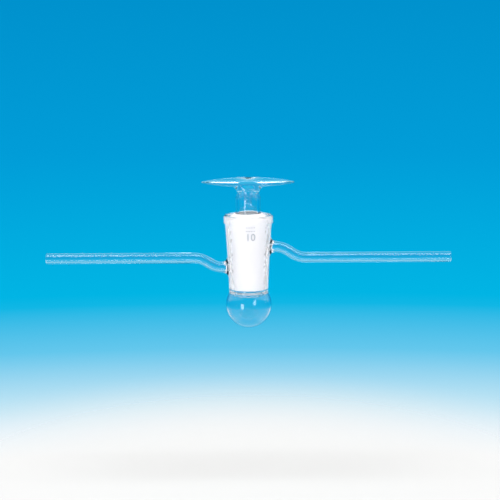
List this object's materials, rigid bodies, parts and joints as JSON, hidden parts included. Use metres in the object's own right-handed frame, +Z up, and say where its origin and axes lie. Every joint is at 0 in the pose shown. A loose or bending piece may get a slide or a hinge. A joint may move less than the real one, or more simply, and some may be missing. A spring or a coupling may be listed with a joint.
{
  "type": "glass stopcock",
  "caption": "Two-way high-vacuum glass stopcock: tapered barrel with a vacuum bulb and two bent side arms, and a hollow key with an oblique bore and a T handle.",
  "frame": {"origin": "lowest point of the vacuum bulb, on the key's axis", "axes": "+Z up along the key's axis, +X along the right arm, which joins the barrel at the high port, +Y to the back"},
  "size_m": [0.304, 0.0368, 0.1143],
  "materials": {
    "borosilicate_glass": "clear, flame-worked, ground white inside the socket",
    "key_glass": "clear, fire-polished, ground white on the cone"
  },
  "bodies": {
    "body": {"barrel": "borosilicate_glass"},
    "key": {"key": "key_glass"}
  },
  "joints": [
    {"name": "key_turn", "type": "hinge", "parent": "body", "child": "key", "pos_m": [0, 0, 0], "axis": [0, 0, 1], "continuous": true}
  ]
}
